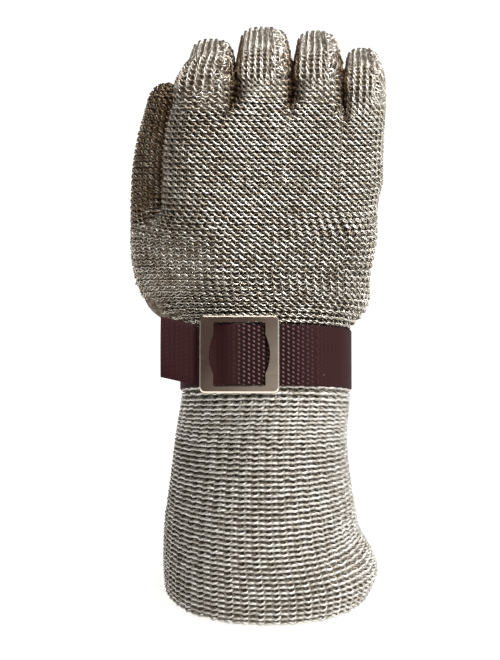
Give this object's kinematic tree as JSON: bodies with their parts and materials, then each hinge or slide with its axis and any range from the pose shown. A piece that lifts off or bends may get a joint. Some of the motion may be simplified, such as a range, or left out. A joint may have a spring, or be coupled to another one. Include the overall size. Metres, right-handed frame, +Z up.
{
  "type": "cut resistant mesh glove",
  "caption": "Right-hand cut resistant glove of steel ring mesh with a long flared cuff and a buckled webbing strap at the wrist.",
  "frame": {"origin": "middle of the cuff's hem, on the surface the glove stands on", "axes": "+Z up from the hem to the fingers, the back of the hand faces -Y, the thumb is at -X"},
  "size_m": [0.1079, 0.1114, 0.235],
  "materials": {
    "ring_mesh": "satin",
    "webbing": "matte",
    "thread": "matte",
    "buckle_nickel": "satin",
    "bar_steel": "satin"
  },
  "bodies": {
    "cuff": {"cuff_hem": "ring_mesh", "cuff_back": "ring_mesh", "cuff_palm": "ring_mesh", "wrist_sleeve": "ring_mesh", "strap_loop": "webbing", "strap_run": "webbing", "lap_stitches": "thread", "fold_stitches": "thread", "buckle_frame": "buckle_nickel", "buckle_bar": "bar_steel"},
    "tail": {"strap_tail": "webbing"},
    "hand": {"hand_back": "ring_mesh", "hand_palm": "ring_mesh", "thumb_base": "ring_mesh", "thumb_web": "ring_mesh", "index_knuckle": "ring_mesh", "long_knuckle": "ring_mesh", "ring_knuckle": "ring_mesh", "little_knuckle": "ring_mesh"},
    "thumb": {"thumb_lower": "ring_mesh", "thumb_crease": "ring_mesh"},
    "thumb_end": {"thumb_tip": "ring_mesh"},
    "index_base": {"index_lower": "ring_mesh", "index_crease": "ring_mesh"},
    "index_mid": {"index_middle": "ring_mesh", "index_tip_crease": "ring_mesh"},
    "index_end": {"index_tip": "ring_mesh"},
    "long_base": {"long_lower": "ring_mesh", "long_crease": "ring_mesh"},
    "long_mid": {"long_middle": "ring_mesh", "long_tip_crease": "ring_mesh"},
    "long_end": {"long_tip": "ring_mesh"},
    "ring_base": {"ring_lower": "ring_mesh", "ring_crease": "ring_mesh"},
    "ring_mid": {"ring_middle": "ring_mesh", "ring_tip_crease": "ring_mesh"},
    "ring_end": {"ring_tip": "ring_mesh"},
    "little_base": {"little_lower": "ring_mesh", "little_crease": "ring_mesh"},
    "little_mid": {"little_middle": "ring_mesh", "little_tip_crease": "ring_mesh"},
    "little_end": {"little_tip": "ring_mesh"}
  },
  "joints": [
    {"name": "wrist_bend", "type": "hinge", "parent": "cuff", "child": "hand", "pos_m": [0, 0, 0.104], "axis": [-1, 0, 0], "range_deg": [-15, 15], "deforming": ["wrist_sleeve"]},
    {"name": "index_knuckle_bend", "type": "hinge", "parent": "hand", "child": "index_base", "pos_m": [-0.03165, 0.01354, 0.18489], "axis": [-1, 0, 0], "range_deg": [-15, 30], "deforming": ["index_knuckle"]},
    {"name": "index_bend", "type": "hinge", "parent": "index_base", "child": "index_mid", "pos_m": [-0.024, 0.02261, 0.22128], "axis": [-1, 0, 0], "range_deg": [-70, 16], "deforming": ["index_crease"]},
    {"name": "index_tip_bend", "type": "hinge", "parent": "index_mid", "child": "index_end", "pos_m": [-0.024, 0.04809, 0.22217], "axis": [-1, 0, 0], "range_deg": [-42, 9.6], "deforming": ["index_tip_crease"]},
    {"name": "long_knuckle_bend", "type": "hinge", "parent": "hand", "child": "long_base", "pos_m": [-0.0066, 0.01354, 0.18489], "axis": [-1, 0, 0], "range_deg": [-15, 30], "deforming": ["long_knuckle"]},
    {"name": "long_bend", "type": "hinge", "parent": "long_base", "child": "long_mid", "pos_m": [-0.0018, 0.02346, 0.22467], "axis": [-1, 0, 0], "range_deg": [-70, 16], "deforming": ["long_crease"]},
    {"name": "long_tip_bend", "type": "hinge", "parent": "long_mid", "child": "long_end", "pos_m": [-0.0018, 0.05094, 0.22563], "axis": [-1, 0, 0], "range_deg": [-42, 9.6], "deforming": ["long_tip_crease"]},
    {"name": "ring_knuckle_bend", "type": "hinge", "parent": "hand", "child": "ring_base", "pos_m": [0.0182, 0.01354, 0.18489], "axis": [-1, 0, 0], "range_deg": [-15, 30], "deforming": ["ring_knuckle"]},
    {"name": "ring_bend", "type": "hinge", "parent": "ring_base", "child": "ring_mid", "pos_m": [0.0213, 0.02346, 0.22467], "axis": [-1, 0, 0], "range_deg": [-70, 16], "deforming": ["ring_crease"]},
    {"name": "ring_tip_bend", "type": "hinge", "parent": "ring_mid", "child": "ring_end", "pos_m": [0.0213, 0.04944, 0.22558], "axis": [-1, 0, 0], "range_deg": [-42, 9.6], "deforming": ["ring_tip_crease"]},
    {"name": "little_knuckle_bend", "type": "hinge", "parent": "hand", "child": "little_base", "pos_m": [0.0398, 0.01354, 0.18489], "axis": [-1, 0, 0], "range_deg": [-15, 30], "deforming": ["little_knuckle"]},
    {"name": "little_bend", "type": "hinge", "parent": "little_base", "child": "little_mid", "pos_m": [0.0405, 0.02212, 0.21934], "axis": [-1, 0, 0], "range_deg": [-70, 16], "deforming": ["little_crease"]},
    {"name": "little_tip_bend", "type": "hinge", "parent": "little_mid", "child": "little_end", "pos_m": [0.0405, 0.04461, 0.22012], "axis": [-1, 0, 0], "range_deg": [-42, 9.6], "deforming": ["little_tip_crease"]},
    {"name": "thumb_swing", "type": "hinge", "parent": "hand", "child": "thumb", "pos_m": [-0.0465, 0.03344, 0.15519], "axis": [0, -0.9703, 0.2419], "range_deg": [0, 26], "deforming": ["thumb_web"]},
    {"name": "thumb_bend", "type": "hinge", "parent": "thumb", "child": "thumb_end", "pos_m": [-0.0475, 0.04337, 0.1826], "axis": [-1, 0, 0], "range_deg": [-10, 50], "deforming": ["thumb_crease"]},
    {"name": "tail_lift", "type": "hinge", "parent": "cuff", "child": "tail", "pos_m": [-0.0292, -0.02562, 0.11706], "axis": [0, 0.454, 0.891], "range_deg": [-8, 60]}
  ],
  "couplings": [
    {"joint": "index_tip_bend", "follows": "index_bend", "ratio": 0.6},
    {"joint": "long_tip_bend", "follows": "long_bend", "ratio": 0.6},
    {"joint": "ring_tip_bend", "follows": "ring_bend", "ratio": 0.6},
    {"joint": "little_tip_bend", "follows": "little_bend", "ratio": 0.6}
  ]
}
